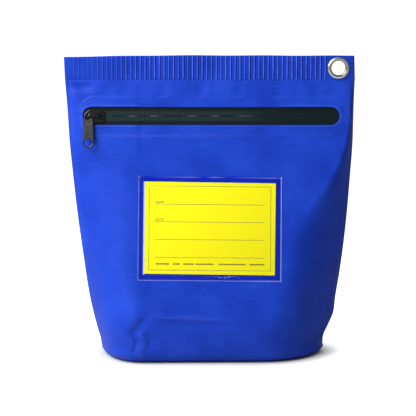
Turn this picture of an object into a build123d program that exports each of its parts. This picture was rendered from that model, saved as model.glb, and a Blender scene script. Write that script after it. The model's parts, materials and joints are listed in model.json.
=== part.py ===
"""A cash deposit bag: a stand-up pouch of PVC-coated fabric with a welded ribbed top band, a zip in a
window of its front panel, a clear pocket with a name card, and an eyelet at one top corner.

Units are millimetres. X runs across the bag, -Y is its front, +Z is up. The origin is the middle of the
base, on the floor. The front of the bag is flat from the foot of the band to the knee near the base, and
leans back there by LEAN. Features on that flat are placed in its own frame: x across, s up the slope from
the foot of the band, h outward from the outer face.
"""

from build123d import *
import os
from math import atan2, cos, degrees, hypot, radians, sin, tan

# ---- driving dimensions -------------------------------------------------------------------------------
HEIGHT = 243.5
TOP_WIDTH = 232.5
BAND_HEIGHT = 20.0
SKIN = 0.8                      # coated fabric, measured level
KNEE_Z, KNEE_DEPTH = 36.0, 41.0  # where the flat front ends, and how far it stands from the middle there

BAND_FOOT = HEIGHT - BAND_HEIGHT
LEAN = atan2(KNEE_DEPTH - SKIN, BAND_FOOT - KNEE_Z)
FACE_SKIN = SKIN * cos(LEAN)    # the fabric's thickness square to the flat front


def sloped_depth(z):
    """Depth of the flat front at height z."""
    return SKIN + (BAND_FOOT - z) * tan(LEAN)


# Outline of one wall at several heights: height, half width, depth, half width of its flat stretch, and how
# square its corner is, from 0 (a straight line to the side seam) to 1 (a full rounded corner).
STATIONS = [
    (0.0, 84.5, 36.0, 36.0, 0.80),
    (2.5, 89.0, 39.6, 41.0, 0.80),
    (8.0, 91.0, 41.4, 46.0, 0.80),
    (18.0, 94.1, 41.9, 51.0, 0.78),
    (KNEE_Z, 99.0, KNEE_DEPTH, 59.0, 0.72),
    (80.0, 105.6, sloped_depth(80.0), 66.0, 0.60),
    (120.0, 110.0, sloped_depth(120.0), 78.0, 0.50),
    (155.0, 112.9, sloped_depth(155.0), 94.0, 0.42),
    (180.0, 114.3, sloped_depth(180.0), 108.0, 0.35),
    (BAND_FOOT, 116.0, SKIN, 110.0, 0.30),
]

# zip: its window in the front panel, and the tapes and coils behind it
ZIP_X, ZIP_DROP = 1.5, 28.8     # the zip's middle, across and down the slope from the foot of the band
WINDOW_LENGTH, WINDOW_HEIGHT = 206.0, 13.8
TAPE_LENGTH, TAPE_WIDTH, TAPE_CORNER = 211.0, 31.5, 12.5
TAPE = 0.55                     # woven tape with its waterproof film
PARTING = 0.4                   # half the gap between the two sides, where the slider's post runs
COIL_WIDTH, COIL_THICK, COIL_CORNER = 3.1, 1.5, 0.45
COIL_START, COIL_END = -101.4, 97.9
STOP_LENGTH, STOP_THICK, STOP_GAP = 2.4, 1.5, 0.4

TAPE_BACK = -FACE_SKIN - TAPE
COIL_BACK = TAPE_BACK - COIL_THICK

# slider: its own x is measured from the leg that carries the pull
LEG_X = -98.2                   # from the zip's middle
PLATE = 1.25
PLATE_TOP, CHANNEL_GAP = 0.75, 0.22
NOSE_RADIUS, NOSE_X = 5.2, 2.1
TAIL_X, TAIL_WIDTH, TAIL_CORNER = 12.9, 9.2, 1.8
RAIL_INNER, RAIL_OUTER = 3.75, 4.5
POST_X, POST_LENGTH, POST_THICK = -0.7, 3.2, 0.5
BRIDGE_WIDTH, BRIDGE_TOP, BRIDGE_UNDER = 2.2, 4.7, 3.15
LEG_HALF, FAR_LEG_IN, FAR_LEG_OUT = 1.1, 7.8, 9.9
FOOT = PLATE_TOP - PLATE / 2    # the bridge's legs end inside the top plate

# pull
PULL_THICK, PULL_LIFT = 1.5, 0.95
EYE_OUTER, EYE_INNER, EYE_DROP = 3.9, 2.4, 0.7   # its eye hangs lower than the leg's middle
PULL_REACH, PULL_END_RADIUS, PULL_HOLE = 21.5, 4.5, 3.3

# eyelet at the right end of the band
EYELET_X, EYELET_Z = 103.7, BAND_FOOT + BAND_HEIGHT / 2
EYELET_BORE, EYELET_BARREL, EYELET_FLANGE = 5.75, 6.15, 8.75
EYELET_CROWN, WASHER_THICK, WASHER_BORE = 1.3, 0.6, 6.2
BAND_HOLE = 6.25

# clear pocket and card
POCKET_WIDTH, POCKET_HEIGHT, POCKET_DROP = 115.0, 84.0, 77.2
POCKET_TURN = -0.65             # welded on slightly out of square, in degrees
SIDE_WELD, FOOT_WELD = 3.0, 5.2
WINDOW_LIFT, WINDOW_FILM = 0.7, 0.4
CARD_WIDTH, CARD_HEIGHT, CARD_THICK = 105.0, 74.0, 0.4
CARD_LIFT, CARD_REST = 0.15, 0.1

# ---- frames -------------------------------------------------------------------------------------------
front_face = Plane(origin=(0, -SKIN, BAND_FOOT), x_dir=(1, 0, 0), z_dir=(0, -cos(LEAN), sin(LEAN)))
zip_frame = front_face.location * Pos(ZIP_X, -ZIP_DROP, 0)
slider_frame = zip_frame * Pos(LEG_X, 0, 0)
pocket_frame = (front_face.location
                * Pos(0, -POCKET_DROP - POCKET_HEIGHT / 2, 0)
                * Rot(0, 0, POCKET_TURN))


def slab(sketch, low, high):
    """A flat sketch made solid from h = low to h = high in its own frame."""
    return Pos(0, 0, low) * extrude(sketch, amount=high - low)


# ---- body ---------------------------------------------------------------------------------------------
def half_outline(half_width, depth, flat, square, z, side):
    """One wall's line from seam to seam: a corner, the flat stretch and a corner. side is -1 at the front."""
    corner = flat + square * (half_width - flat)
    y = side * depth
    return [
        Bezier((-half_width, 0, z), (-corner, y, z), (-flat, y, z)),
        Line((-flat, y, z), (flat, y, z)),
        Bezier((flat, y, z), (corner, y, z), (half_width, 0, z)),
    ]


def inner_size(half_width, depth, flat, square):
    """Half width and depth of the wall's inner line, one thickness in."""
    run = (1 - square) * (half_width - flat)
    return half_width - SKIN * hypot(run, depth) / depth, depth - SKIN


def wall_section(station, side):
    """The closed outline of one wall at a height: outer line, inner line and the two seam edges."""
    z, half_width, depth, flat, square = station
    inner_width, inner_depth = inner_size(half_width, depth, flat, square)
    outer = half_outline(half_width, depth, flat, square, z, side)
    inner = half_outline(inner_width, inner_depth, flat, square, z, side)
    seams = [Line((s * inner_width, 0, z), (s * half_width, 0, z)) for s in (-1, 1)]
    return make_face(outer + inner + seams)


def wall(side):
    """A whole wall panel: the sloping wall and its flat half of the top band."""
    shell = loft([wall_section(station, side) for station in STATIONS], ruled=True)
    band = Pos(0, side * SKIN / 2, BAND_FOOT + BAND_HEIGHT / 2) * Box(TOP_WIDTH, SKIN, BAND_HEIGHT)
    hole = Pos(EYELET_X, 0, EYELET_Z) * Rot(90, 0, 0) * Cylinder(BAND_HOLE, 4 * SKIN)
    return shell + band - hole


def front_panel():
    window = zip_frame * slab(SlotOverall(WINDOW_LENGTH, WINDOW_HEIGHT), -2 * SKIN, SKIN)
    return wall(-1) - window


def base_panel():
    """The oval base, which fills the ring that the two walls leave at the floor."""
    z, half_width, depth, flat, square = STATIONS[0]
    inner_width, inner_depth = inner_size(half_width, depth, flat, square)
    edges = [edge for side in (-1, 1)
             for edge in half_outline(inner_width, inner_depth, flat, square, z, side)]
    return extrude(make_face(edges), amount=SKIN, dir=(0, 0, 1))


# ---- zip ----------------------------------------------------------------------------------------------
def tape_side(side):
    """One side of the tape: half a rounded rectangle, clear of the parting line."""
    whole = RectangleRounded(TAPE_LENGTH, TAPE_WIDTH, TAPE_CORNER)
    strip = TAPE_WIDTH / 2 - PARTING
    half = whole & Pos(0, side * (PARTING + strip / 2)) * Rectangle(TAPE_LENGTH, strip)
    return zip_frame * slab(half, TAPE_BACK, -FACE_SKIN)


def coil_side(side):
    """One row of the coil, as a rounded bar along the back of the tape."""
    section = RectangleRounded(COIL_WIDTH, COIL_THICK, COIL_CORNER)
    start = Pos(COIL_START, side * (PARTING + COIL_WIDTH / 2), TAPE_BACK - COIL_THICK / 2)
    bar = extrude(section, amount=COIL_END - COIL_START)
    return zip_frame * start * Plane.YZ.location * bar


def stop(x, s, width):
    """A moulded stop on the back of the tape."""
    return zip_frame * Pos(x, s, TAPE_BACK - STOP_THICK / 2) * Box(STOP_LENGTH, width, STOP_THICK)


def top_stop(side):
    """The stop on one side of the tape, where the slider rests when the zip is closed."""
    return stop(COIL_START - STOP_GAP - STOP_LENGTH / 2, side * (PARTING + COIL_WIDTH / 2), COIL_WIDTH)


def bottom_stop():
    """The stop across both sides, where the slider rests when the zip is open."""
    return stop(COIL_END + STOP_GAP + STOP_LENGTH / 2, 0, 2 * (PARTING + COIL_WIDTH))


# ---- slider and pull ----------------------------------------------------------------------------------
def plate_outline():
    """Round at the nose, narrower and with small round corners at the tail."""
    tail = [Pos(TAIL_X - TAIL_CORNER, s * (TAIL_WIDTH / 2 - TAIL_CORNER)) * Circle(TAIL_CORNER) for s in (-1, 1)]
    nose = Pos(NOSE_X, 0) * Circle(NOSE_RADIUS)
    return make_hull([edge for shape in (nose, *tail) for edge in shape.edges()])


def bridge():
    """The arch that holds the pull: a loop in the x-h plane, as wide as BRIDGE_WIDTH."""
    near_bend = ThreePointArc((-LEG_HALF, BRIDGE_UNDER), (-0.6, BRIDGE_TOP - 0.45), (LEG_HALF, BRIDGE_TOP))
    far_top = FAR_LEG_IN - 0.6
    far_bend = ThreePointArc((far_top, BRIDGE_TOP), (FAR_LEG_OUT - 0.9, BRIDGE_UNDER), (FAR_LEG_OUT, PLATE_TOP))
    arch = make_face([
        Line((-LEG_HALF, FOOT), (-LEG_HALF, BRIDGE_UNDER)),
        near_bend,
        Line((LEG_HALF, BRIDGE_TOP), (far_top, BRIDGE_TOP)),
        far_bend,
        Line((FAR_LEG_OUT, PLATE_TOP), (FAR_LEG_OUT, FOOT)),
        Line((FAR_LEG_OUT, FOOT), (-LEG_HALF, FOOT)),
    ])
    middle = Pos((LEG_HALF + FAR_LEG_IN) / 2, (FOOT + BRIDGE_UNDER) / 2)
    hollow = middle * Rectangle(FAR_LEG_IN - LEG_HALF, BRIDGE_UNDER - FOOT)
    return Rot(90, 0, 0) * extrude(arch - hollow, amount=BRIDGE_WIDTH / 2, both=True)


def slider_body():
    """Two plates joined by the post at the nose, with rails beside the coils and the bridge on top."""
    outline = plate_outline()
    floor = COIL_BACK - CHANNEL_GAP
    ceiling = PLATE_TOP - PLATE
    body = slab(outline, ceiling, PLATE_TOP) + slab(outline, floor - PLATE, floor)
    body += Pos(POST_X, 0, (floor + ceiling) / 2) * Box(POST_LENGTH, POST_THICK, ceiling - floor)
    rail_length = TAIL_X - NOSE_X - TAIL_CORNER
    rail_height = TAPE_BACK - CHANNEL_GAP - floor
    for side in (-1, 1):
        middle = Pos(NOSE_X + rail_length / 2, side * (RAIL_INNER + RAIL_OUTER) / 2, floor + rail_height / 2)
        body += middle * Box(rail_length, RAIL_OUTER - RAIL_INNER, rail_height)
    return slider_frame * (body + bridge())


def pull_tab():
    """A tapered tab with a round eye on the bridge's leg and a larger hole at its free end."""
    eye = Pos(0, -EYE_DROP)
    end = Pos(0, -PULL_REACH)
    outline = make_hull([*(eye * Circle(EYE_OUTER)).edges(), *(end * Circle(PULL_END_RADIUS)).edges()])
    holes = eye * Circle(EYE_INNER) + end * Circle(PULL_HOLE)
    return slider_frame * slab(outline - holes, PULL_LIFT, PULL_LIFT + PULL_THICK)


# ---- eyelet -------------------------------------------------------------------------------------------
def turned(profile):
    """Revolves a profile drawn as (radius, distance behind the band's middle) about the eyelet's axis."""
    placed = Plane(origin=(EYELET_X, 0, EYELET_Z), x_dir=(1, 0, 0), z_dir=(0, 0, 1)) * profile
    return revolve(placed, axis=Axis((EYELET_X, 0, EYELET_Z), (0, 1, 0)))


def eyelet():
    """Domed flange at the front, barrel through the band, and a lip rolled over the washer behind."""
    lip = SKIN + WASHER_THICK
    crest = (EYELET_BORE + EYELET_FLANGE) / 2
    return turned(make_face([
        Line((EYELET_BORE, lip + 0.5), (EYELET_BORE, -SKIN - 0.7)),
        ThreePointArc((EYELET_BORE, -SKIN - 0.7), (crest, -SKIN - EYELET_CROWN), (EYELET_FLANGE, -SKIN)),
        Line((EYELET_FLANGE, -SKIN), (EYELET_BARREL, -SKIN)),
        Line((EYELET_BARREL, -SKIN), (EYELET_BARREL, lip)),
        Line((EYELET_BARREL, lip), (EYELET_BARREL + 1.1, lip)),
        ThreePointArc((EYELET_BARREL + 1.1, lip), (EYELET_BARREL + 0.75, lip + 0.55), (EYELET_BORE, lip + 0.5)),
    ]))


def eyelet_washer():
    middle = ((WASHER_BORE + EYELET_FLANGE) / 2, SKIN + WASHER_THICK / 2)
    return turned(Pos(*middle) * Rectangle(EYELET_FLANGE - WASHER_BORE, WASHER_THICK))


# ---- clear pocket -------------------------------------------------------------------------------------
def card_window():
    """The clear film that covers the card, in front of the weld border."""
    return pocket_frame * slab(Rectangle(POCKET_WIDTH, POCKET_HEIGHT), WINDOW_LIFT, WINDOW_LIFT + WINDOW_FILM)


def window_border():
    """The weld along the pocket's sides and foot, open at the top."""
    inside = Rectangle(POCKET_WIDTH - 2 * SIDE_WELD, POCKET_HEIGHT)
    border = Rectangle(POCKET_WIDTH, POCKET_HEIGHT) - Pos(0, FOOT_WELD) * inside
    return pocket_frame * slab(border, 0, WINDOW_LIFT)


def name_card():
    middle = -POCKET_HEIGHT / 2 + FOOT_WELD + CARD_REST + CARD_HEIGHT / 2
    return pocket_frame * slab(Pos(0, middle) * Rectangle(CARD_WIDTH, CARD_HEIGHT), CARD_LIFT, CARD_LIFT + CARD_THICK)


PARTS = {
    "front_panel": front_panel,
    "back_panel": lambda: wall(1),
    "base_panel": base_panel,
    "zip_tape_upper": lambda: tape_side(1),
    "zip_tape_lower": lambda: tape_side(-1),
    "zip_coil_upper": lambda: coil_side(1),
    "zip_coil_lower": lambda: coil_side(-1),
    "zip_top_stop_upper": lambda: top_stop(1),
    "zip_top_stop_lower": lambda: top_stop(-1),
    "zip_bottom_stop": bottom_stop,
    "slider_body": slider_body,
    "pull_tab": pull_tab,
    "eyelet": eyelet,
    "eyelet_washer": eyelet_washer,
    "card_window": card_window,
    "window_border": window_border,
    "name_card": name_card,
}

os.makedirs("parts", exist_ok=True)
for name, build in PARTS.items():
    export_step(build(), f"parts/{name}.step")
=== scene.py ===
"""The looks of a cash deposit bag: a stand-up pouch of blue coated fabric with a welded ribbed band at the top,
a black zip in a window of its front, a clear pocket that holds a yellow card, and an eyelet in one corner.

Shapes are worked out in millimetres and become metres as each mesh is made. Places on the flat front of the bag
are given in that flat's own frame: x across, s up the slope from the foot of the band, h out from the fabric.
"""

import json
from math import cos, pi, radians, sin

import bmesh
import bpy
import numpy as np
from mathutils import Matrix, Vector


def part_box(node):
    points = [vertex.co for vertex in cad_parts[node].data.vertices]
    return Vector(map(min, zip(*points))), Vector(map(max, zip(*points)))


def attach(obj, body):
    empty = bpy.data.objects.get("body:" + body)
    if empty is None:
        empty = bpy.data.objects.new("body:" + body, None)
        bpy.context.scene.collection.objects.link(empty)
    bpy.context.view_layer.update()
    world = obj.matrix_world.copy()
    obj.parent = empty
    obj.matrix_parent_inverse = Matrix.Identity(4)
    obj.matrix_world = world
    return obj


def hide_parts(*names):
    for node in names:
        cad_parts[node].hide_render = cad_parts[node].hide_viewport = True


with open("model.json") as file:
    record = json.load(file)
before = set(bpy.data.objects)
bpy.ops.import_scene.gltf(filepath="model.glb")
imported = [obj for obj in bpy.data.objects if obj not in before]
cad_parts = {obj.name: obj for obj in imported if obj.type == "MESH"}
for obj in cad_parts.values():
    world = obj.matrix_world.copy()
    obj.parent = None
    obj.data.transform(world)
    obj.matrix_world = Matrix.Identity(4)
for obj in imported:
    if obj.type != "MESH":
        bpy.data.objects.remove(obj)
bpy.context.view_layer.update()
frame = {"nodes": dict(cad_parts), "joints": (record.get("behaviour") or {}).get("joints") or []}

MM = 0.001
scene = bpy.context.scene
scene.view_settings.view_transform = "Standard"

# ---- places and sizes, from the frame -----------------------------------------------------------------
SKIN = 0.8                       # thickness of the coated fabric
BAND_HEIGHT = 20.0
joints = {joint["name"]: joint for joint in frame["joints"]}


def box_mm(node):
    """Lowest and highest corner of a CAD node, in millimetres."""
    return [np.array(corner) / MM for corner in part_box(node)]


wall_high = box_mm("front_panel")[1]
BAND_TOP = wall_high[2]
BAND_FOOT = BAND_TOP - BAND_HEIGHT
ACROSS = np.array((1.0, 0.0, 0.0))
OUT = -np.array(joints["pull_swing"]["axis"])
UP = np.cross(OUT, ACROSS)
FACE = np.array((0.0, -SKIN, BAND_FOOT))


def on_face(x, s, h):
    """A point of the flat front's frame: FACE + x ACROSS + s UP + h OUT."""
    x, s, h = np.broadcast_arrays(x, s, h)
    return FACE + x[..., None] * ACROSS + s[..., None] * UP + h[..., None] * OUT


def face_place(point):
    """x, s and h of a point that is given in the object's frame."""
    return np.array([(np.array(point) - FACE) @ axis for axis in (ACROSS, UP, OUT)])


def face_box(node):
    """Lowest and highest x, s and h of a CAD node's own points, in the flat front's frame."""
    mesh = frame["nodes"][node].data
    points = np.empty(3 * len(mesh.vertices))
    mesh.vertices.foreach_get("co", points)
    places = (points.reshape(-1, 3) / MM - FACE) @ np.stack([ACROSS, UP, OUT], axis=1)
    return places.min(axis=0), places.max(axis=0)


leg_x, zip_s = face_place(np.array(joints["pull_swing"]["pos_m"]) / MM)[:2]
tape_low, tape_high = face_box("zip_tape_upper")
zip_x = (tape_low[0] + tape_high[0]) / 2
tape_half = (tape_high[0] - tape_low[0]) / 2
tape_reach = tape_high[1] - zip_s
zip_z = BAND_FOOT + zip_s * UP[2]

# ---- the walls' outline ---------------------------------------------------------------------------------
GIRTH = 116.5                    # measure round a wall from its middle to its side seam, the same at each height

# height, half width and half width of the flat stretch, on either side of the middle
LEFT_STATIONS = np.array([
    (0.0, 84.2, 50.0), (2.5, 86.7, 54.0), (7.0, 88.0, 57.0), (12.5, 89.0, 58.0), (18.0, 90.6, 58.5),
    (40.0, 96.0, 57.5), (84.0, 102.7, 57.0), (126.0, 107.9, 58.5), (150.0, 110.3, 64.0), (172.0, 112.3, 80.0),
    (205.0, 114.2, 104.0), (BAND_FOOT, 115.7, 110.0),
])
RIGHT_STATIONS = np.array([
    (0.0, 89.0, 34.0), (2.5, 93.6, 36.0), (8.0, 94.3, 37.5), (13.0, 94.8, 38.5), (22.0, 98.6, 40.0),
    (31.0, 102.4, 43.0), (46.0, 104.4, 48.0), (66.0, 107.4, 58.0), (90.0, 110.3, 62.5), (120.0, 113.0, 78.0),
    (142.0, 114.4, 94.0), (172.0, 116.2, 109.0), (205.0, 116.6, 113.5), (BAND_FOOT, 117.0, 114.5),
])
SQUARENESS = np.array([
    (0.0, 0.80), (12.0, 0.64), (40.0, 0.52), (90.0, 0.46), (150.0, 0.42), (200.0, 0.38), (BAND_FOOT, 0.30),
])


def sloped_depth(z):
    """Depth of the flat front at height z."""
    return SKIN + (BAND_FOOT - z) * UP[1] / UP[2]


KNEE_TOP = 48.0
DEPTHS = np.array([(0.0, 34.0), (2.0, 37.6), (5.0, 40.2), (9.5, 41.4), (18.0, 41.7), (30.0, 41.4)]
                  + [(z, sloped_depth(z)) for z in (42.0, KNEE_TOP, 54.0)])


def smooth_step(value, low, high):
    """0 below low and 1 above high, with the curve 3t^2 - 2t^3 between."""
    t = np.clip((value - low) / (high - low), 0.0, 1.0)
    return t * t * (3.0 - 2.0 * t)


def bell(value, width):
    """exp(-(value / width)^2)."""
    return np.exp(-(value / width) ** 2)


def through(at, knots, values):
    """Cubic Hermite curve through the knots, with the slope between each knot's neighbours as its tangent."""
    slopes = np.gradient(values, knots)
    i = np.clip(np.searchsorted(knots, at) - 1, 0, len(knots) - 2)
    span = knots[i + 1] - knots[i]
    t = (at - knots[i]) / span
    start = values[i] * (2 * t**3 - 3 * t**2 + 1) + slopes[i] * span * (t**3 - 2 * t**2 + t)
    end = values[i + 1] * (3 * t**2 - 2 * t**3) + slopes[i + 1] * span * (t**3 - t**2)
    return start + end


def corner(q, half, flat, square, depth):
    """Quadratic Bezier from the end of the flat stretch, at q = 0, to the side seam, at q = 1."""
    pull = flat + square * (half - flat)
    x = (1 - q) ** 2 * flat + 2 * q * (1 - q) * pull + q**2 * half
    y = (1 - q**2) * depth
    return x, y


def wall_line(girth, z, side):
    """Outer face of a wall at a measure round it, girth, from its middle. Side is -1 at the front. Girth is in
    true millimetres along the flat stretch only. What is left of it is shared out evenly round the corner,
    whose length varies with height."""
    girth, z = np.broadcast_arrays(girth, z)
    half, flat = [
        np.where(girth < 0, through(z, LEFT_STATIONS[:, 0], left), through(z, RIGHT_STATIONS[:, 0], right))
        for left, right in zip(LEFT_STATIONS.T[1:], RIGHT_STATIONS.T[1:])
    ]
    square = np.interp(z, SQUARENESS[:, 0], SQUARENESS[:, 1])
    depth = np.where(z < KNEE_TOP, through(z, DEPTHS[:, 0], DEPTHS[:, 1]), sloped_depth(z))
    share = np.clip((np.abs(girth) - flat) / (GIRTH - flat), 0.0, 1.0)
    count = 24
    sizes = [size[..., None] for size in (half, flat, square, depth)]
    xs, ys = corner(np.linspace(0, 1, count + 1), *sizes)
    lengths = np.cumsum(np.hypot(np.diff(xs), np.diff(ys)), axis=-1)
    lengths = np.concatenate([np.zeros_like(lengths[..., :1]), lengths], axis=-1) / lengths[..., -1:]
    below = np.clip((lengths <= share[..., None]).sum(axis=-1) - 1, 0, count - 1)[..., None]
    low = np.take_along_axis(lengths, below, -1)[..., 0]
    high = np.take_along_axis(lengths, below + 1, -1)[..., 0]
    q = (below[..., 0] + (share - low) / (high - low)) / count
    x, y = corner(q, half, flat, square, depth)
    x = np.where(share > 0, np.sign(girth) * x, girth)
    return np.stack([x, side * y, z], axis=-1)


def on_wall(girth, z, side=-1, lift=0.0):
    """A point of the wall moved out by lift along the wall's normal, which comes from central differences."""
    girth, z = np.broadcast_arrays(girth, z)
    step = 0.05
    across = wall_line(girth + step, z, side) - wall_line(girth - step, z, side)
    up = wall_line(girth, z + step, side) - wall_line(girth, z - step, side)
    out = -side * np.cross(across, up)
    out /= np.linalg.norm(out, axis=-1, keepdims=True)
    return wall_line(girth, z, side) + np.asarray(lift)[..., None] * out


# ---- meshes ---------------------------------------------------------------------------------------------
def grid_faces(rows, columns, wrap_rows=False, wrap_columns=False):
    """Quads between the neighbours of a grid of points, facing (along the columns) x (along the rows)."""
    r, c = np.meshgrid(np.arange(rows - (not wrap_rows)), np.arange(columns - (not wrap_columns)),
                       indexing="ij")
    r_next, c_next = (r + 1) % rows, (c + 1) % columns
    corners = [r * columns + c, r * columns + c_next, r_next * columns + c_next, r_next * columns + c]
    return np.stack(corners, axis=-1)


def new_mesh(name, points, faces, uv=None, **values):
    """A smooth mesh in metres from points in millimetres, with a value at each point for each named attribute."""
    mesh = bpy.data.meshes.new(name)
    mesh.from_pydata((np.reshape(points, (-1, 3)) * MM).tolist(), [], np.reshape(faces, (-1, 4)).tolist())
    for key, value in values.items():
        mesh.attributes.new(key, "FLOAT", "POINT").data.foreach_set("value", np.ravel(value))
    if uv is not None:
        corner_points = np.empty(len(mesh.loops), dtype=np.int32)
        mesh.loops.foreach_get("vertex_index", corner_points)
        layer = mesh.uv_layers.new(name="cloth")
        layer.data.foreach_set("uv", np.reshape(uv, (-1, 2))[corner_points].ravel())
    return mesh


def weld(mesh):
    """Merges points that coincide, which closes seams and poles."""
    work = bmesh.new()
    work.from_mesh(mesh)
    bmesh.ops.remove_doubles(work, verts=work.verts, dist=2e-6)
    work.to_mesh(mesh)
    work.free()
    return mesh


def face_outward(mesh):
    """Turns every face of a closed mesh outward."""
    work = bmesh.new()
    work.from_mesh(mesh)
    bmesh.ops.recalc_face_normals(work, faces=work.faces)
    work.to_mesh(mesh)
    work.free()
    return mesh


def add_piece(name, mesh, material, body, slot, *nodes, sharp=35.0):
    """Puts a mesh in the scene as a piece that rides on a body and stands for the CAD nodes named."""
    mesh.materials.clear()
    mesh.materials.append(material)
    mesh.shade_smooth()
    mesh.set_sharp_from_angle(angle=radians(sharp))
    piece = bpy.data.objects.new(name, mesh)
    scene.collection.objects.link(piece)
    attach(piece, body)
    if nodes:
        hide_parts(*nodes)
    return piece


def thicken(piece, thickness):
    """Gives a sheet its thickness, inward from the face that was modelled."""
    solidify = piece.modifiers.new("thickness", "SOLIDIFY")
    solidify.thickness = thickness * MM
    solidify.offset = -1.0
    return piece


def joined(name, meshes):
    """One mesh made of several."""
    work = bmesh.new()
    for mesh in meshes:
        work.from_mesh(mesh)
    whole = bpy.data.meshes.new(name)
    work.to_mesh(whole)
    work.free()
    return whole


def rounded_slab(name, loops, low, high, rounding, place):
    """A flat plate between two heights, with round edges. The first loop is its outline and the rest are holes,
    and place turns the plate's own x, y and height into a point of the object's frame."""
    curve = bpy.data.curves.new(name, "CURVE")
    curve.dimensions = "2D"
    curve.fill_mode = "BOTH"
    curve.extrude = (high - low) / 2 - rounding
    curve.bevel_depth = rounding
    curve.bevel_resolution = 3
    curve.offset = -rounding
    for index, loop in enumerate(loops):
        points = loop if index == 0 else loop[::-1]
        spline = curve.splines.new("POLY")
        spline.points.add(len(points) - 1)
        spline.points.foreach_set(
            "co", np.column_stack([points, np.zeros(len(points)), np.ones(len(points))]).ravel())
        spline.use_cyclic_u = True
    holder = bpy.data.objects.new(name, curve)
    mesh = bpy.data.meshes.new_from_object(holder)
    bpy.data.objects.remove(holder)
    own = np.empty(3 * len(mesh.vertices))
    mesh.vertices.foreach_get("co", own)
    own = own.reshape(-1, 3)
    mesh.vertices.foreach_set("co", (place(own[:, 0], own[:, 1], own[:, 2] + (low + high) / 2) * MM).ravel())
    return face_outward(weld(mesh))


def swept(name, path, sideways, wide, thick, square=4.0, around=20):
    """A bar along a path, with a superellipse section: wide half its size along sideways, thick across that."""
    path = np.asarray(path, float)
    along = np.gradient(path, axis=0)
    along /= np.linalg.norm(along, axis=1, keepdims=True)
    sideways = np.broadcast_to(sideways, path.shape)
    upright = np.cross(along, sideways)
    upright /= np.linalg.norm(upright, axis=1, keepdims=True)
    turn = np.linspace(0, 2 * pi, around, endpoint=False)
    u = np.sign(np.cos(turn)) * np.abs(np.cos(turn)) ** (2 / square)
    v = np.sign(np.sin(turn)) * np.abs(np.sin(turn)) ** (2 / square)
    wide, thick = np.broadcast_to(wide, len(path)), np.broadcast_to(thick, len(path))
    rings = (path[:, None]
             + (wide[:, None] * u)[..., None] * sideways[:, None]
             + (thick[:, None] * v)[..., None] * upright[:, None])
    ends = [np.broadcast_to(path[i], (1, around, 3)) for i in (0, -1)]
    rings = np.concatenate([ends[0], rings, ends[1]])
    return face_outward(weld(new_mesh(name, rings, grid_faces(len(rings), around, wrap_columns=True))))


def turned(name, profile, centre, around=96):
    """A closed profile of (radius, y) carried round an axis along Y through centre."""
    turn = np.linspace(0, 2 * pi, around, endpoint=False)
    radius, depth = np.asarray(profile, float).T
    rings = np.stack([
        centre[0] + radius[:, None] * np.cos(turn),
        np.broadcast_to(depth[:, None], (len(radius), around)),
        centre[2] + radius[:, None] * np.sin(turn),
    ], axis=-1)
    faces = grid_faces(len(radius), around, wrap_rows=True, wrap_columns=True)
    return face_outward(new_mesh(name, rings, faces))


# ---- materials ------------------------------------------------------------------------------------------
def new_material(name, **settings):
    """A material with one Principled shader, whose sockets are set by name."""
    material = bpy.data.materials.new(name)
    material.use_nodes = True
    shader = material.node_tree.nodes["Principled BSDF"]
    for key, value in settings.items():
        shader.inputs[key].default_value = value
    return material, material.node_tree, shader


def node(tree, kind, **settings):
    """A new node of a kind, with properties and numbered or named input values."""
    made = tree.nodes.new("ShaderNode" + kind)
    for key, value in settings.items():
        if key in made.bl_rna.properties:
            setattr(made, key, value)
        else:
            made.inputs[key.replace("_", " ")].default_value = value
    return made


def calc(tree, operation, first, second):
    """A Math node; each term is an output to read or a number."""
    made = tree.nodes.new("ShaderNodeMath")
    made.operation = operation
    for socket, term in zip(made.inputs, (first, second)):
        if isinstance(term, (int, float)):
            socket.default_value = term
        else:
            tree.links.new(term, socket)
    return made.outputs[0]


def cloth_place(tree):
    """Across and up the cloth, in millimetres, from the piece's own UV map."""
    uv = node(tree, "UVMap", uv_map="cloth")
    split = node(tree, "SeparateXYZ")
    tree.links.new(uv.outputs[0], split.inputs[0])
    return [calc(tree, "MULTIPLY", split.outputs[i], 100.0) for i in (0, 1)]


def noise(tree, across, up, scale, detail=3.0, stretch=1.0):
    """Noise over the cloth; scale is per millimetre, and stretch makes it longer across than up."""
    place = node(tree, "CombineXYZ")
    tree.links.new(calc(tree, "DIVIDE", across, stretch), place.inputs[0])
    tree.links.new(up, place.inputs[1])
    texture = node(tree, "TexNoise", Scale=scale, Detail=detail)
    tree.links.new(place.outputs[0], texture.inputs["Vector"])
    return texture.outputs["Fac"]


def bump(tree, shader, height, distance, strength=1.0):
    """Bumps a shader's normal by a height from 0 to 1 over distance in millimetres."""
    made = node(tree, "Bump", Strength=strength, Distance=distance * MM)
    tree.links.new(height, made.inputs["Height"])
    tree.links.new(made.outputs[0], shader.inputs["Normal"])
    return made


def ramp(tree, factor, *stops):
    """A colour ramp with (place, colour) stops."""
    made = tree.nodes.new("ShaderNodeValToRGB")
    elements = made.color_ramp.elements
    while len(elements) < len(stops):
        elements.new(0.5)
    for element, (place, colour) in zip(elements, stops):
        element.position = place
        element.color = (*colour, 1.0)
    tree.links.new(factor, made.inputs[0])
    return made.outputs[0]


def grey_ramp(tree, factor, low, high):
    """A number that goes from low to high as the factor goes from 0.3 to 0.7."""
    made = node(tree, "MapRange", From_Min=0.3, From_Max=0.7, To_Min=low, To_Max=high)
    tree.links.new(factor, made.inputs[0])
    return made.outputs[0]


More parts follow.
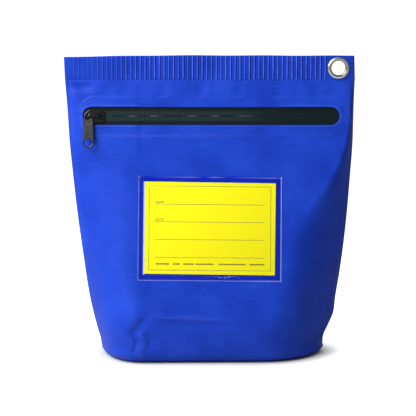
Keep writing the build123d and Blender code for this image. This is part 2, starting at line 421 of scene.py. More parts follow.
def fabric_material():
    """Blue vinyl on a woven cloth: the weave shows through as fine rows, with a satin face. Its colour is mixed
    toward a paler blue where it is rubbed pale along ridges, and for painted sheen and painted highlight lines.
    """
    material, tree, shader = new_material("coated_fabric", **{"Specular IOR Level": 0.15})
    across, up = cloth_place(tree)
    thread = 0.85
    weft = calc(tree, "SINE", calc(tree, "MULTIPLY", up, 2 * pi / thread), 0.0)
    warp = calc(tree, "SINE", calc(tree, "MULTIPLY", across, pi / thread), 0.0)
    weave = calc(tree, "MULTIPLY_ADD", calc(tree, "MULTIPLY", weft, warp), 0.2)
    streaks = noise(tree, across, up, 0.9, detail=4.0, stretch=9.0)
    grain = noise(tree, across, up, 2.6, detail=2.0)
    height = calc(tree, "ADD", calc(tree, "MULTIPLY", weave, 0.16),
                  calc(tree, "ADD", calc(tree, "MULTIPLY", streaks, 0.7), calc(tree, "MULTIPLY", grain, 0.3)))
    bump(tree, shader, height, 0.09, 0.55)
    cloud = noise(tree, across, up, 0.035, detail=4.0)
    tint = calc(tree, "ADD", calc(tree, "MULTIPLY", cloud, 0.6), calc(tree, "MULTIPLY", streaks, 0.4))
    blue = ramp(tree, tint, (0.36, (0.0055, 0.034, 0.39)), (0.50, (0.0072, 0.044, 0.465)),
                (0.66, (0.011, 0.058, 0.53)))
    # Paler blue: rubbed pale along ridges, plus painted sheen and painted highlight lines marked by the same
    # attribute.
    rub = node(tree, "Attribute", attribute_name="rub")
    mix = node(tree, "Mix", data_type="RGBA", blend_type="MIX")
    tree.links.new(rub.outputs["Fac"], mix.inputs[0])
    tree.links.new(blue, mix.inputs[6])
    mix.inputs[7].default_value = (0.10, 0.18, 0.75, 1.0)
    tree.links.new(mix.outputs[2], shader.inputs["Base Color"])
    tree.links.new(grey_ramp(tree, cloud, 0.40, 0.50), shader.inputs["Roughness"])
    return material


def tape_material():
    """Black woven tape under a thin waterproof film. Where the coil's imprint and the parting line show, it is made
    greyer: a painted highlight on the imprinted ridges and a painted highlight line at the parting line.
    """
    material, tree, shader = new_material("zip_tape", **{"Specular IOR Level": 0.30})
    across, up = cloth_place(tree)
    grain = noise(tree, across, up, 2.2, detail=3.0, stretch=2.0)
    teeth = node(tree, "Attribute", attribute_name="tooth")
    shade = calc(tree, "ADD", calc(tree, "MULTIPLY", grain, 0.35),
                 calc(tree, "MULTIPLY", teeth.outputs["Fac"], 0.65))
    # The upper stops are painted highlight on the imprint and the parting line.
    black = ramp(tree, shade, (0.1, (0.0015, 0.007, 0.009)), (0.5, (0.003, 0.013, 0.016)),
                 (0.82, (0.028, 0.044, 0.051)), (1.0, (0.10, 0.12, 0.13)))
    tree.links.new(black, shader.inputs["Base Color"])
    tree.links.new(grey_ramp(tree, grain, 0.24, 0.34), shader.inputs["Roughness"])
    bump(tree, shader, grain, 0.06, 0.4)
    return material


def object_noise(tree, scale, detail=3.0):
    """Noise in the object's own place, with scale per millimetre."""
    place = node(tree, "TexCoord")
    texture = node(tree, "TexNoise", Scale=scale / MM, Detail=detail)
    tree.links.new(place.outputs["Object"], texture.inputs["Vector"])
    return texture.outputs["Fac"]


def speckled_material(name, dark, light, rough, scale=0.6, depth=0.02, **settings):
    """A finish whose colour, roughness and surface vary a little with a fine noise."""
    material, tree, shader = new_material(name, **settings)
    grain = object_noise(tree, scale)
    tree.links.new(ramp(tree, grain, (0.35, dark), (0.65, light)), shader.inputs["Base Color"])
    tree.links.new(grey_ramp(tree, grain, *rough), shader.inputs["Roughness"])
    bump(tree, shader, grain, depth, 0.5)
    return material


def film_material():
    """Clear vinyl: what is behind shows through, with a gloss that grows toward grazing views. Pale lines of
    diffuse haze are painted highlights, and the blue behind it is made deeper round the card."""
    material = bpy.data.materials.new("clear_film")
    material.use_nodes = True
    tree = material.node_tree
    tree.nodes.remove(tree.nodes["Principled BSDF"])
    clear = tree.nodes.new("ShaderNodeBsdfTransparent")
    # The blue behind the film is made deeper round the card.
    cling = node(tree, "Attribute", attribute_name="cling")
    tint = ramp(tree, cling.outputs["Fac"], (0.0, (0.985, 0.99, 0.995)), (1.0, (0.62, 0.74, 0.97)))
    tree.links.new(tint, clear.inputs["Color"])
    haze = node(tree, "BsdfDiffuse", Color=(0.75, 0.85, 1.0, 1.0))
    gloss = node(tree, "BsdfGlossy", Color=(1.0, 1.0, 1.0, 1.0), Roughness=0.09)
    facing = tree.nodes.new("ShaderNodeLayerWeight")
    shine = calc(tree, "ADD",
                 calc(tree, "MULTIPLY", calc(tree, "POWER", facing.outputs["Facing"], 4.0), 0.5), 0.014)
    # Painted highlights: pale haze where glints on the film are painted.
    frost = node(tree, "Attribute", attribute_name="frost")
    veil = node(tree, "MixShader")
    tree.links.new(frost.outputs["Fac"], veil.inputs[0])
    tree.links.new(clear.outputs[0], veil.inputs[1])
    tree.links.new(haze.outputs[0], veil.inputs[2])
    mix = node(tree, "MixShader")
    tree.links.new(shine, mix.inputs[0])
    tree.links.new(veil.outputs[0], mix.inputs[1])
    tree.links.new(gloss.outputs[0], mix.inputs[2])
    output = next(n for n in tree.nodes if n.type == "OUTPUT_MATERIAL")
    tree.links.new(mix.outputs[0], output.inputs["Surface"])
    return material


def nickel_material():
    """Bright nickel, with painted shade: dark in the groove and the bore inside the flange's crest."""
    material, tree, shader = new_material("nickel", Metallic=1.0)
    low, high = box_mm("eyelet")
    place = node(tree, "TexCoord")
    across = tree.nodes.new("ShaderNodeVectorMath")
    across.operation = "MULTIPLY"
    across.inputs[1].default_value = (1.0, 0.0, 1.0)
    tree.links.new(place.outputs["Object"], across.inputs[0])
    radius = tree.nodes.new("ShaderNodeVectorMath")
    radius.operation = "DISTANCE"
    radius.inputs[1].default_value = ((low[0] + high[0]) / 2 * MM, 0.0, (low[2] + high[2]) / 2 * MM)
    tree.links.new(across.outputs[0], radius.inputs[0])
    from_bore = calc(tree, "MULTIPLY",
                     calc(tree, "SUBTRACT", radius.outputs["Value"], 5.9 * MM), 1 / (0.9 * MM))
    # Painted shade: dark inside the flange's crest and down the bore, bright nickel outside.
    nickel_and_bore_shade = ramp(tree, from_bore, (0.0, (0.16, 0.15, 0.13)), (0.5, (0.30, 0.28, 0.25)),
                  (1.0, (0.88, 0.86, 0.82)))
    tree.links.new(nickel_and_bore_shade, shader.inputs["Base Color"])
    grain = object_noise(tree, 0.9)
    tree.links.new(grey_ramp(tree, grain, 0.14, 0.26), shader.inputs["Roughness"])
    bump(tree, shader, grain, 0.01, 0.5)
    return material


fabric = fabric_material()
tape_black = tape_material()
film = film_material()
coil_black = speckled_material("zip_coil", (0.010, 0.010, 0.012), (0.022, 0.022, 0.026), (0.40, 0.55))
stop_black = speckled_material("zip_stop", (0.012, 0.012, 0.014), (0.024, 0.024, 0.028), (0.30, 0.45))
slider_black = speckled_material(
    "slider_paint", (0.0025, 0.003, 0.0035), (0.005, 0.006, 0.007), (0.14, 0.22),
    **{"Coat Weight": 0.3, "Coat Roughness": 0.12, "Specular IOR Level": 0.4})
pull_grey = speckled_material(
    "pull_paint", (0.034, 0.036, 0.039), (0.055, 0.058, 0.062), (0.28, 0.40), Metallic=0.3)
nickel = nickel_material()
card_yellow = speckled_material(
    "card", (0.93, 0.84, 0.002), (0.97, 0.88, 0.004), (0.55, 0.65), scale=1.6, **{"Specular IOR Level": 0.08})
ink_grey = speckled_material("ink", (0.13, 0.13, 0.05), (0.20, 0.20, 0.07), (0.55, 0.65))
ink_black = speckled_material("ink_dark", (0.05, 0.05, 0.02), (0.09, 0.09, 0.03), (0.55, 0.65))

# ---- relief of the front --------------------------------------------------------------------------------
window_half, window_rise = 103.0, 7.2    # the zip's window: half its length and half its height
pocket_low, pocket_high = face_box("card_window")
pocket_middle = (pocket_low + pocket_high) / 2
card_slope = np.array(joints["card_slide"]["axis"])
pocket_turn = -np.arctan2(card_slope @ ACROSS, card_slope @ UP)


def slot_distance(x, s, half_length, half_height, radius):
    """Distance outside a rounded rectangle round the zip's middle; it is less than 0 inside."""
    dx = np.abs(x - zip_x) - (half_length - radius)
    ds = np.abs(s - zip_s) - (half_height - radius)
    outside = np.hypot(np.maximum(dx, 0), np.maximum(ds, 0))
    return outside + np.minimum(np.maximum(dx, ds), 0) - radius


def pocket_mask(girth, z):
    """1 away from the clear pocket and 0 under it, where the fabric stays flat."""
    s = (z - BAND_FOOT) / UP[2]
    dx = np.abs(girth - pocket_middle[0]) - (pocket_high[0] - pocket_low[0]) / 2
    ds = np.abs(s - pocket_middle[1]) - (pocket_high[1] - pocket_low[1]) / 2
    return smooth_step(np.maximum(dx, ds), 1.0, 14.0)


def seam_fold(girth):
    """A shallow groove beside each side seam, where the walls are welded together."""
    return -0.4 * bell(GIRTH - np.abs(girth) - 2.6, 0.8)


def soft_waves(girth, z, phase):
    """Long shallow waves of a bag that has been folded and filled: sums of sines across and up."""
    slow = np.sin(girth / 23.0 + z / 61.0 + phase) * np.sin(z / 27.0 - girth / 83.0 + 2.1 * phase)
    quick = np.sin(girth / 11.0 - z / 19.0 + 1.7 * phase) * np.sin(z / 13.0 + girth / 37.0 - phase)
    return (0.45 * slow + 0.16 * quick) * smooth_step(z, 4.0, 30.0) * (1 - smooth_step(z, 190.0, 215.0))


def puckers(girth, z):
    """Short upright gathers just under the band, and a hollow at its left end."""
    wave = np.sin(0.19 * girth + 0.8 * np.sin(0.047 * girth)) + 0.6 * np.sin(0.41 * girth + 1.3)
    hollow = -0.9 * bell(girth + 103.0, 9.0) * bell(z - BAND_FOOT + 5.0, 3.2)
    return 0.20 * wave * bell(z - BAND_FOOT + 8.0, 6.0) + hollow


def zip_relief(girth, z):
    """The tape's edge shows through the fabric, with a few fine arcs round its left end, and the window's
    edge is pressed into a small lip."""
    s = (z - BAND_FOOT) / UP[2]
    tape = slot_distance(girth, s, tape_half, tape_reach, 12.5)
    window = slot_distance(girth, s, window_half, window_rise, window_rise)
    arcs = 0.07 * np.cos(2 * pi * tape / 3.2) * bell(tape + 1.0, 5.0) * smooth_step(-girth, 84.0, 98.0)
    return 0.24 * (1 - smooth_step(tape, -1.0, 1.0)) + 0.22 * bell(window - 1.1, 0.9) + arcs


CREASE = np.array([(4.0, -61.5), (12.0, -60.8), (19.0, -59.2), (25.0, -61.5), (33.0, -56.0), (46.0, -46.0)])


def corner_crease(girth, z):
    """A dent at the lower left, where the corner has buckled: a winding valley that leans right and fades at its
    top, steep on its left and easy on its right, with a broad ridge beside it, a small hollow and a swell."""
    line = through(np.clip(z, 4.0, 46.0), CREASE[:, 0], CREASE[:, 1])
    fade = smooth_step(z, 5.0, 12.0) * (1 - smooth_step(z, 32.0, 50.0))
    width = 1.9 + 2.2 * bell(z - 26.0, 5.0) + 1.2 * smooth_step(z, 30.0, 42.0)
    width = np.where(girth > line, width * (1 + 1.2 * smooth_step(z, 24.0, 34.0)), width)
    valley = -0.95 * bell(girth - line, width) * fade
    ridge = 0.8 * bell(girth - line - 6.4, 3.0) * smooth_step(z, 2.0, 9.0) * (1 - smooth_step(z, 22.0, 31.0))
    hollow = -0.7 * bell(girth + 48.0, 3.4) * bell(z - 17.5, 3.6)
    swell = (0.5 * bell(girth - line + 9.0, 6.0) * smooth_step(z, 10.0, 22.0)
             * (1 - smooth_step(z, 34.0, 50.0)))
    return valley + ridge + hollow + swell


def knee_ridge(girth, z):
    """The fold where the flat front turns down to the base, sharpest a little left of the middle."""
    line = z - 37.5 + 0.05 * (girth + 20.0)
    return (0.75 * bell(line, 2.0) - 0.45 * bell(line + 5.5, 2.4)) * bell(girth + 16.0, 26.0)


def right_lip(girth, z):
    """At the lower right the side is pinched above the base and stands out again as a lip."""
    return (-1.0 * bell(z - 17.0, 5.0) + 0.5 * bell(z - 6.0, 4.0)) * smooth_step(girth, 78.0, 100.0)


def front_relief(girth, z):
    seam = 1 - smooth_step(np.abs(girth), GIRTH - 5.0, GIRTH - 0.4)
    creased = corner_crease(girth, z) + knee_ridge(girth, z) + right_lip(girth, z) + soft_waves(girth, z, 0.4)
    near_zip = zip_relief(girth, z) + puckers(girth, z) * smooth_step(z, zip_z + 8.0, zip_z + 14.0)
    relief = (pocket_mask(girth, z) * creased + near_zip) * seam + seam_fold(girth)
    beside = np.abs(girth - pocket_middle[0]) - CARD_WIDTH / 2
    clear = 1 - smooth_step(beside, 2.0, 8.0)
    above = smooth_step(z, BAND_FOOT + UP[2] * pocket_high[1] - 6.0, BAND_FOOT + UP[2] * pocket_high[1])
    return relief - clear * above * np.maximum(relief - 0.02, 0.0)


def crease_rub(girth, z, relief):
    """How much the fabric is made paler: rubbed pale along ridges, where the relief curves away most, and a painted
    sheen along the lip at the lower right.
    """
    bend = relief(girth + 1.2, z) + relief(girth - 1.2, z) - 2 * relief(girth, z)
    fold = relief(girth, z + 1.2) + relief(girth, z - 1.2) - 2 * relief(girth, z)
    # Painted sheen: a paler band along the lip at the lower right.
    lip = 0.35 * bell(z - 6.0, 5.0) * smooth_step(girth, 100.0, 110.0)
    return np.clip(-(bend + fold) * 0.35, 0.0, 0.30) + lip


# ---- walls and base -------------------------------------------------------------------------------------
def window_opening(x):
    """Half the height of the zip's window at x: level along its straight part and a half circle at each end."""
    past = np.abs(x - zip_x) - (window_half - window_rise)
    return np.sqrt(np.clip(window_rise**2 - np.maximum(past, 0) ** 2, 0, None))


def front_sheet():
    """The front wall as two fields of rows, below and above the zip's middle. Near the zip each row is moved away
    from it by the window's half height, by less and less over a set distance. The fields join beyond the window."""
    ends = [zip_x + side * (window_half - window_rise * (1 - np.sin(np.linspace(0, pi / 2, 12))))
            for side in (-1, 1)]
    regular = np.linspace(-GIRTH, GIRTH, 195)
    clear_of_ends = np.abs(np.abs(regular - zip_x) - window_half + window_rise / 2) > window_rise / 2 + 0.3
    girth = np.sort(np.concatenate([regular[clear_of_ends], *ends]))
    down = np.concatenate([np.linspace(0, 5, 11), np.linspace(6, zip_z - 10, 110),
                           zip_z - np.linspace(9, 0, 12)])
    above = BAND_FOOT - zip_z
    up = np.concatenate([np.linspace(0, 5, 11), np.linspace(6, above, 22)])
    opening = window_opening(girth) * UP[2]
    lower = zip_z - down[::-1, None] - opening * np.clip(1 - down[::-1, None] / 40.0, 0, 1) ** 2
    upper = zip_z + up[:, None] + opening * (1 - up[:, None] / above) ** 2
    z = np.concatenate([lower, upper])
    girth = np.broadcast_to(girth, z.shape)
    points = on_wall(girth, z, -1, front_relief(girth, z))
    faces = grid_faces(*z.shape)
    faces = np.delete(faces, len(lower) - 1, axis=0)
    uv = np.stack([girth, z / UP[2]], axis=-1) / 100.0
    tape_edge = slot_distance(girth, (z - BAND_FOOT) / UP[2], tape_half, tape_reach, 12.5)
    # Painted highlight: a thin paler line along the tape's lower edge, fading to the right.
    tape_line_highlight = bell(tape_edge, 0.75) * (z < zip_z) * (1 - 0.8 * smooth_step(girth, -30.0, 40.0))
    rub = crease_rub(girth, z, front_relief) + 0.18 * tape_line_highlight
    mesh = weld(new_mesh("front_wall", points, faces, uv, rub=rub))
    return thicken(add_piece("front_wall", mesh, fabric, "bag", "coated_fabric", "front_panel"), SKIN)


def back_relief(girth, z):
    seam = 1 - smooth_step(np.abs(girth), GIRTH - 5.0, GIRTH - 0.4)
    knee = 0.5 * bell(z - 37.0, 3.0) * bell(girth - 8.0, 50.0)
    dent = (-1.3 * bell(girth - 64.0 + 0.4 * z, 3.0) * smooth_step(z, 4.0, 14.0)
            * (1 - smooth_step(z, 30.0, 46.0)))
    gathers = 0.7 * puckers(-girth, z)
    return (1.5 * soft_waves(girth, z, 2.3) + knee + dent + gathers) * seam + seam_fold(girth)


def back_sheet():
    """The back wall: one field of rows, with the same outline as the front."""
    girth = np.linspace(GIRTH, -GIRTH, 180)
    z = np.concatenate([np.linspace(0, 9, 12), np.linspace(10.5, BAND_FOOT, 130)])[:, None]
    z = np.broadcast_to(z, (len(z), len(girth)))
    points = on_wall(girth, z, 1, back_relief(girth, z))
    uv = np.stack([np.broadcast_to(girth, z.shape), z / UP[2]], axis=-1) / 100.0
    rub = crease_rub(girth, z, back_relief)
    mesh = new_mesh("back_wall", points, grid_faces(*z.shape), uv, rub=rub)
    return thicken(add_piece("back_wall", mesh, fabric, "bag", "coated_fabric", "back_panel"), SKIN)


def base_sheet():
    """The oval base: the walls' line at the floor, drawn in toward the middle, which stands a little off it."""
    girth = np.linspace(-GIRTH, GIRTH, 120)
    front = wall_line(girth, 0.0 * girth, -1)
    back = wall_line(girth[::-1], 0.0 * girth, 1)
    rim = np.concatenate([front, back[1:-1]])
    middle = rim.mean(axis=0)
    share = (1 - np.linspace(0, 1, 26)[:, None, None] ** 1.4) * 0.992
    points = middle + share * (rim - middle)
    points[..., 2] = 0.05 + 1.6 * (1 - share[..., 0]) ** 2 * (1 + 0.3 * np.sin(points[..., 0] / 17.0))
    faces = grid_faces(len(points), len(rim), wrap_columns=True)[..., ::-1]
    mesh = weld(new_mesh("base", points, faces, points[..., :2] / 100.0))
    return thicken(add_piece("base", mesh, fabric, "bag", "coated_fabric", "base_panel"), SKIN)


# ---- ribbed band ----------------------------------------------------------------------------------------
RIB_PITCH = 3.8
eyelet_low, eyelet_high = box_mm("eyelet")
eyelet_middle = (eyelet_low + eyelet_high) / 2


def rib_height(x, z):
    """Narrow upright ribs pressed by the weld: a bell at each pitch with a groove beside it. They are fainter at
    the left end, stop short of the eyelet and end just inside the band's edges."""
    place = (x - 93.0) / RIB_PITCH
    from_rib = (place - np.round(place)) * RIB_PITCH
    profile = bell(from_rib, 0.38) - 0.5 * bell(from_rib - 0.95, 0.45) - 0.25 * bell(from_rib + 0.9, 0.4)
    strength = 0.25 + 0.75 * smooth_step(x, -104.0, -45.0)
    uneven = 0.85 + 0.15 * np.sin(1.9 * np.round(place)) * np.sin(0.7 * np.round(place))
    reach = (smooth_step(z, BAND_FOOT + 0.3, BAND_FOOT + 1.4)
             * (1 - smooth_step(z, BAND_TOP - 0.9, BAND_TOP - 0.2)))
    return 0.75 * profile * strength * uneven * reach * (1 - smooth_step(x, 93.5, 95.0))


def top_band():
    """The two walls welded flat together: a loop up the front, over the top edge and down the back, carried across.
    The thickness closes to nothing at either end, and the top edge dips toward the left corner."""
    left = np.linspace(0, 1, 7)
    x = np.linspace(-1, 1, 640)
    x = np.sort(np.concatenate([x[1:-1], -1 + 0.012 * (1 - np.cos(left * pi / 2)),
                                1 - 0.012 * (1 - np.cos(left * pi / 2))]))
    rise = np.concatenate([np.linspace(0, 0.1, 6), np.linspace(0.2, 0.9, 8), np.linspace(0.94, 0.98, 3)])
    over = np.linspace(0, pi, 7)
    up = np.concatenate([rise, 0.98 + 0.02 * np.sin(over[1:-1]), rise[::-1]])
    side = np.concatenate([-np.ones(len(rise)), -np.cos(over[1:-1]), np.ones(len(rise))])
    up, side = up[:, None], side[:, None]
    half = np.where(x < 0, 115.7 + 0.7 * up, 117.2 - 0.8 * up)
    across = x * half
    dip = 1.5 * np.clip((-across - 20.0) / 96.0, 0, 1) ** 1.6 + 0.12 * np.sin(across / 9.0)
    z = BAND_FOOT + up * (BAND_HEIGHT - dip)
    from_end = (1 - np.abs(x)) / 0.012
    thick = SKIN * np.sqrt(np.clip(1 - np.clip(1 - from_end, 0, 1) ** 2, 0, 1))
    ribs = rib_height(across, z) * np.where(side < 0, 1.0, 0.6)
    bow = 0.5 * np.sin(across / 41.0 + 0.6) * up
    y = side * (thick + ribs * (np.abs(side) > 0.99)) + bow
    points = np.stack(np.broadcast_arrays(across, y, z), axis=-1)
    faces = grid_faces(*y.shape, wrap_rows=True)
    length = np.cumsum(np.concatenate(
        [[0], np.hypot(np.diff(up[:, 0]) * BAND_HEIGHT, np.diff(side[:, 0]) * SKIN)]))
    uv = np.stack(np.broadcast_arrays(across, (BAND_FOOT + length)[:, None]), axis=-1) / 100.0
    # Painted highlight: each rib's crest is made paler.
    rub = np.clip(ribs * 0.9, 0, 0.5)
    mesh = weld(new_mesh("top_band", points, faces, uv, rub=rub))
    return add_piece("top_band", bored(mesh), fabric, "bag", "coated_fabric", sharp=60.0)


def bored(mesh):
    """The band with the eyelet's hole through it."""
    turn = np.linspace(0, 2 * pi, 48, endpoint=False)
    radius = 6.3
    ring = np.stack([eyelet_middle[0] + radius * np.cos(turn), 0 * turn,
                     eyelet_middle[2] + radius * np.sin(turn)], axis=-1)
    rings = np.stack([ring - (0, 6, 0), ring + (0, 6, 0)])
    punch_mesh = face_outward(new_mesh("punch", rings, grid_faces(2, 48, wrap_columns=True)))
    work = bmesh.new()
    work.from_mesh(punch_mesh)
    bmesh.ops.holes_fill(work, edges=work.edges)
    bmesh.ops.recalc_face_normals(work, faces=work.faces)
    work.to_mesh(punch_mesh)
    work.free()
    punch = bpy.data.objects.new("punch", punch_mesh)
    holder = bpy.data.objects.new("holder", mesh)
    for made in (punch, holder):
        scene.collection.objects.link(made)
    boolean = holder.modifiers.new("hole", "BOOLEAN")
    boolean.object = punch
    boolean.operation = "DIFFERENCE"
    boolean.solver = "EXACT"
    bpy.context.view_layer.update()
    cut = bpy.data.meshes.new_from_object(holder.evaluated_get(bpy.context.evaluated_depsgraph_get()))
    for made in (punch, holder):
        bpy.data.objects.remove(made)
    return cut


# ---- zip ------------------------------------------------------------------------------------------------
TOOTH_PITCH = 2.0
TAPE_FILM = 0.55


def tooth_print_and_highlight(x, away):
    """How far a tooth presses up under the tape: slanting ridges beside the parting line, fading to the right. The
    same value paints the tape paler there, a painted highlight, and its fade to the right is painted fall-off of
    the light.
    """
    wave = 0.5 + 0.5 * np.cos(2 * pi * (x + 0.45 * away) / TOOTH_PITCH)
    spread = smooth_step(away, 0.5, 1.1) * (1 - smooth_step(away, 3.6, 4.6))
    # A low raised line along the parting line, painted bright as a highlight line.
    middle = 1.3 * bell(away - 0.2, 0.35) * (0.6 + 0.4 * np.sin(x / 3.7 + np.sin(x / 9.1)))
    return (wave * spread + middle) * (1.0 - 0.8 * smooth_step(x, 20.0, 70.0))


def tape(name, side, node_name):
    """One side of the zip tape: flat at its outer edge, raised over the coil and rolled under at the parting line.
    Its corners are round, so each column is as long as the tape is there."""
    x = zip_x + np.linspace(-tape_half, tape_half, 850)
    corner_radius = 12.5
    past = np.maximum(np.abs(x - zip_x) - tape_half + corner_radius, 0)
    reach = tape_reach - corner_radius + np.sqrt(np.clip(corner_radius**2 - past**2, 0, None))
    away = np.concatenate([np.linspace(0.05, 1.2, 9), np.linspace(1.6, 5.6, 11),
                           np.linspace(7.2, tape_reach, 5)])
    away = np.minimum(away[:, None], np.maximum(reach, 0.2))
    x = np.broadcast_to(x, away.shape)
    tooth = tooth_print_and_highlight(x, away)
    over_coil = 0.11 * (1 - smooth_step(away, 2.4, 6.4)) + 0.05 * bell(away - 0.45, 0.4)
    rolled = 0.06 * (1 - smooth_step(away, 0.1, 0.4)) ** 2
    h = -SKIN - 0.02 + over_coil - rolled + 0.09 * np.minimum(tooth, 1.0)
    s = zip_s + side * away
    if side < 0:
        x, s, h, tooth = x[::-1], s[::-1], h[::-1], tooth[::-1]
    points = on_wall(x, BAND_FOOT + s * UP[2], -1, h)
    uv = np.stack([x, s], axis=-1) / 100.0
    # The tooth attribute carries the painted highlight of the imprint and the parting line.
    mesh = weld(new_mesh(name, points, grid_faces(*x.shape), uv, tooth=tooth))
    return thicken(add_piece(name, mesh, tape_black, "bag", "zip_tape", node_name), TAPE_FILM)


def coil(name, side, node_name):
    """One row of the coil: a thin filament wound round an oval, a turn to each tooth."""
    low, high = face_box(node_name)
    middle = (low + high) / 2
    wire = 0.3
    turns = int((high[0] - low[0] - 2 * wire) / TOOTH_PITCH)
    along = np.linspace(0, 1, 14 * turns + 1)
    turn = 2 * pi * turns * along
    x = low[0] + wire + along * turns * TOOTH_PITCH
    s = middle[1] + ((high[1] - low[1]) / 2 - wire) * np.cos(turn) * -side
    h = middle[2] + ((high[2] - low[2]) / 2 - wire) * np.sin(turn)
    z = BAND_FOOT + s * UP[2]
    path = on_wall(x, z, -1, h)
    radial = np.stack([0 * turn, -side * np.cos(turn) * UP[1] + np.sin(turn) * OUT[1],
                       -side * np.cos(turn) * UP[2] + np.sin(turn) * OUT[2]], axis=-1)
    mesh = swept(name, path, radial / np.linalg.norm(radial, axis=1, keepdims=True), wire, wire,
                 square=2.0, around=6)
    return add_piece(name, mesh, coil_black, "bag", "zip_coil", node_name)


# ---- slider and pull ------------------------------------------------------------------------------------
def circle(x, y, radius, start=0.0, end=360.0, count=40):
    """Points on an arc, from one angle to another, in degrees."""
    turn = np.radians(np.linspace(start, end, count, endpoint=end - start < 360))
    return np.stack([x + radius * np.cos(turn), y + radius * np.sin(turn)], axis=-1)


def hull_of_circles(circles, count=72):
    """The outline round several circles: in each direction, the furthest point of any of them."""
    turn = np.linspace(0, 2 * pi, count * 4, endpoint=False)
    direction = np.stack([np.cos(turn), np.sin(turn)], axis=-1)
    centres = np.array([c[:2] for c in circles])
    radii = np.array([c[2] for c in circles])
    reach = direction @ centres.T + radii
    best = reach.argmax(axis=1)
    points = centres[best] + radii[best, None] * direction
    keep = np.linalg.norm(points - np.roll(points, 1, axis=0), axis=1) > 0.02
    return points[keep]


def from_leg(x, y, h):
    """A point of the slider's own frame: x and y from the leg that carries the pull, h as on the flat front."""
    return on_face(leg_x + x, zip_s + y, h)


def slider():
    """Two plates, the post at the nose, a rail at each side and the arched bridge, all with round edges."""
    plate_top, plate = 0.75, 1.25
    outline = hull_of_circles([(2.1, 0, 5.2), (11.1, 2.8, 1.8), (11.1, -2.8, 1.8)])
    dished = [(2.1, 0, 4.2), (11.1, 2.1, 1.4), (11.1, -2.1, 1.4)]
    low, high = face_box("slider_body")
    parts = [
        rounded_slab("top_plate", [outline], plate_top - plate, plate_top, 0.4, from_leg),
        rounded_slab("raised_face", [hull_of_circles(dished)], plate_top - 0.4, plate_top + 0.18, 0.16,
                     from_leg),
        rounded_slab("bottom_plate", [outline], low[2], low[2] + plate, 0.4, from_leg),
        rounded_slab("post", [hull_of_circles([(-2.05, 0, 0.25), (0.65, 0, 0.25)])],
                     low[2] + 0.6, plate_top - 0.6, 0.1, from_leg),
    ]
    for side in (-1, 1):
        rail = hull_of_circles([(2.6, side * 4.12, 0.375), (10.6, side * 4.12, 0.375)])
        parts.append(rounded_slab("rail", [rail], low[2] + 0.6, -1.6, 0.12, from_leg))
    near = circle(1.3, 2.65, 1.3, 180, 90, 9)
    far = circle(7.0, 1.95, 2.0, 90, 8, 10)
    line = np.concatenate([[(0, 0.2), (0, 1.4)], near, [(3.2, 3.98), (5.2, 3.98)], far, [(9.0, 0.2)]])
    half_thick = np.interp(line[:, 0], [0, 1.3, 7.0, 9.0], [1.0, 0.74, 0.74, 0.98])
    path = from_leg(line[:, 0], 0 * line[:, 0], line[:, 1])
    parts.append(swept("bridge", path, UP, 1.1, half_thick, square=3.4, around=28))
    return add_piece("slider", joined("slider", parts), slider_black, "slider", "slider_paint", "slider_body")


def pull():
    """A tapered tab with an eye round the bridge's leg and a larger hole at its free end. Its black body carries a
    raised face, drawn in from the edges, whose paint is worn to grey; the black rim left round that face is partly
    painted shade on the rounded edge."""
    low, high = face_box("pull_tab")
    eye, end = (0, -0.7), (0, -21.8)
    body = [hull_of_circles([(*eye, 3.9), (*end, 4.6)]), circle(*eye, 2.4), circle(*end, 3.2)]
    mesh = rounded_slab("pull", body, low[2], high[2] - 0.2, 0.4, from_leg)
    add_piece("pull", mesh, slider_black, "pull", "slider_paint", "pull_tab")
    face = [hull_of_circles([(*eye, 3.3), (*end, 4.0)]), circle(*eye, 2.85), circle(*end, 3.55)]
    mesh = rounded_slab("pull_face", face, high[2] - 0.5, high[2] + 0.02, 0.14, from_leg)
    return add_piece("pull_face", mesh, pull_grey, "pull", "pull_paint")


# ---- eyelet ---------------------------------------------------------------------------------------------
def eyelet():
    """Domed flange in front, barrel through the band and a lip rolled over the washer behind."""
    bore, flange, front, back = 5.75, 8.75, -SKIN, SKIN + 0.6
    crest = 1.3
    rim = circle(0, 0, 1, 0, 180, 17)
    dome = np.stack([(bore + flange) / 2 + (flange - bore) / 2 * rim[:, 0],
                     front - crest * rim[:, 1] ** 0.8], axis=-1)
    barrel = np.array([(bore - 0.02, front + 0.3), (bore - 0.02, back - 0.1)])
    lip = np.stack([bore + 0.75 + 0.75 * np.cos(np.linspace(pi, 0, 9)),
                    back + 0.55 * np.sin(np.linspace(pi, 0, 9))], axis=-1)
    outer = np.array([(6.15, back), (6.15, front)])
    return add_piece("eyelet", turned("eyelet", np.concatenate([dome, barrel, lip, outer]), eyelet_middle),
                     nickel, "bag", "nickel", "eyelet", sharp=50.0)


def washer():
    """A flat ring with round edges, under the eyelet's lip."""
    low, high = box_mm("eyelet_washer")
    middle, half = 7.475, 1.275
    turn = np.linspace(0, 2 * pi, 24, endpoint=False)
    u = np.sign(np.cos(turn)) * np.abs(np.cos(turn)) ** 0.5
    v = np.sign(np.sin(turn)) * np.abs(np.sin(turn)) ** 0.5
    profile = np.stack([middle + half * u, (low[1] + high[1]) / 2 + (high[1] - low[1]) / 2 * v], axis=-1)
    return add_piece("eyelet_ring", turned("eyelet_ring", profile, eyelet_middle), nickel, "bag", "nickel",
                     "eyelet_washer")


# ---- clear pocket and card ------------------------------------------------------------------------------
POCKET_WIDTH, POCKET_HEIGHT = 115.0, 84.0
SIDE_WELD, FOOT_WELD = 3.0, 5.2
CARD_WIDTH, CARD_HEIGHT = 105.0, 74.0
card_low, card_high = face_box("name_card")
card_middle_y = (card_low[1] + card_high[1]) / 2 - pocket_middle[1]


def in_pocket(x, y, h):
    """A point of the pocket's own frame: from its middle, turned as it is welded on."""
    c, s = cos(pocket_turn), sin(pocket_turn)
    return on_face(pocket_middle[0] + c * x - s * y, pocket_middle[1] + s * x + c * y, h)


FILM_THICKNESS = 0.12


